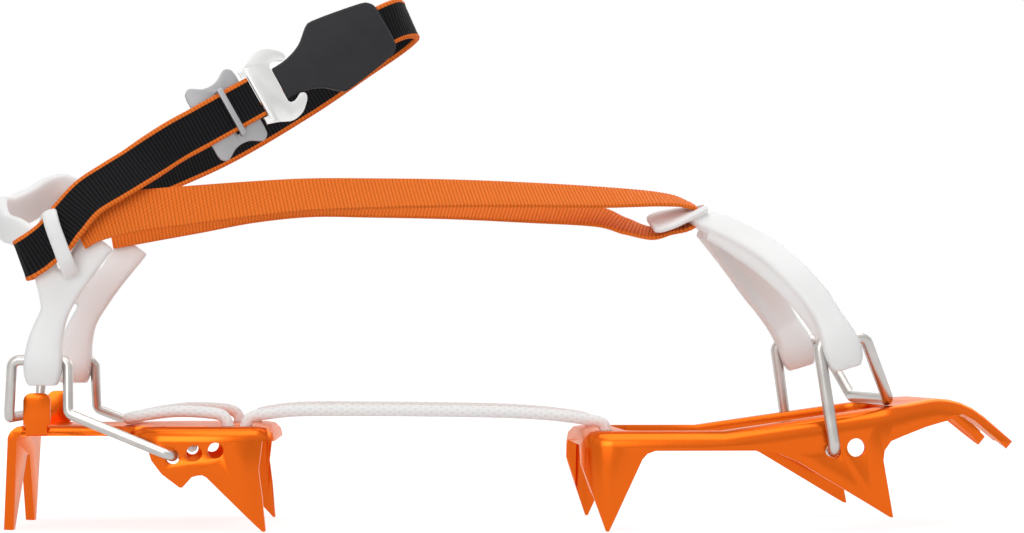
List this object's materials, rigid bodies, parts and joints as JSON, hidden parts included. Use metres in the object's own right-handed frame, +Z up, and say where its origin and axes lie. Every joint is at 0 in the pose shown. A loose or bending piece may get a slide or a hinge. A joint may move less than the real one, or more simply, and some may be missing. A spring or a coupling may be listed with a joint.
{
  "type": "mountaineering crampon",
  "caption": "Strap-on crampon with pointed toe and heel frames linked by a lacing cord, with wire bails, flexible cages, a toe strap and a buckled ankle strap.",
  "frame": {"origin": "middle of the part's box at the height of the ground points' tips", "axes": "+X towards the toe, +Y towards the left side, +Z up"},
  "size_m": [0.3175, 0.1008, 0.1654],
  "materials": {
    "orange_metal": "glossy orange anodising",
    "wire": "drawn stainless wire",
    "cage": "milky white moulded plastic",
    "cord": "braided white cord",
    "orange_webbing": "ribbed webbing",
    "black_webbing": "ribbed black webbing with orange edges",
    "buckle": "satin",
    "tab": "matte charcoal, bare"
  },
  "bodies": {
    "toe_section": {"toe_frame": "orange_metal", "cord_knot": "cord"},
    "heel_section": {"heel_frame": "orange_metal", "link_cord": "cord", "right_toe_strap": "orange_webbing", "left_toe_strap": "orange_webbing"},
    "front_binding": {"front_bail": "wire", "toe_cage": "cage", "toe_strap_loop": "orange_webbing"},
    "heel_binding": {"heel_bail": "wire", "heel_cage": "cage", "right_toe_strap_end": "orange_webbing", "left_toe_strap_end": "orange_webbing", "ankle_strap_right": "black_webbing", "ankle_strap_left": "black_webbing", "buckle_slider": "buckle", "pull_tab": "tab"},
    "hook": {"buckle_hook": "buckle"}
  },
  "joints": [
    {"name": "link_fold", "type": "hinge", "parent": "toe_section", "child": "heel_section", "pos_m": [0.031, 0, 0.0247], "axis": [0, 1, 0], "range_deg": [0, 28], "deforming": ["link_cord", "right_toe_strap", "left_toe_strap"]},
    {"name": "front_bail_pivot", "type": "hinge", "parent": "toe_section", "child": "front_binding", "pos_m": [0.0987, 0, 0.0241], "axis": [0, -1, 0], "range_deg": [0, 45]},
    {"name": "heel_bail_pivot", "type": "hinge", "parent": "heel_section", "child": "heel_binding", "pos_m": [-0.1002, 0, 0.0228], "axis": [0, 1, 0], "range_deg": [0, 25]},
    {"name": "hook_swing", "type": "hinge", "parent": "heel_binding", "child": "hook", "pos_m": [-0.07507, -0.02833, 0.1329], "axis": [0.4878, 0.1099, -0.866], "range_deg": [0, 50]}
  ]
}
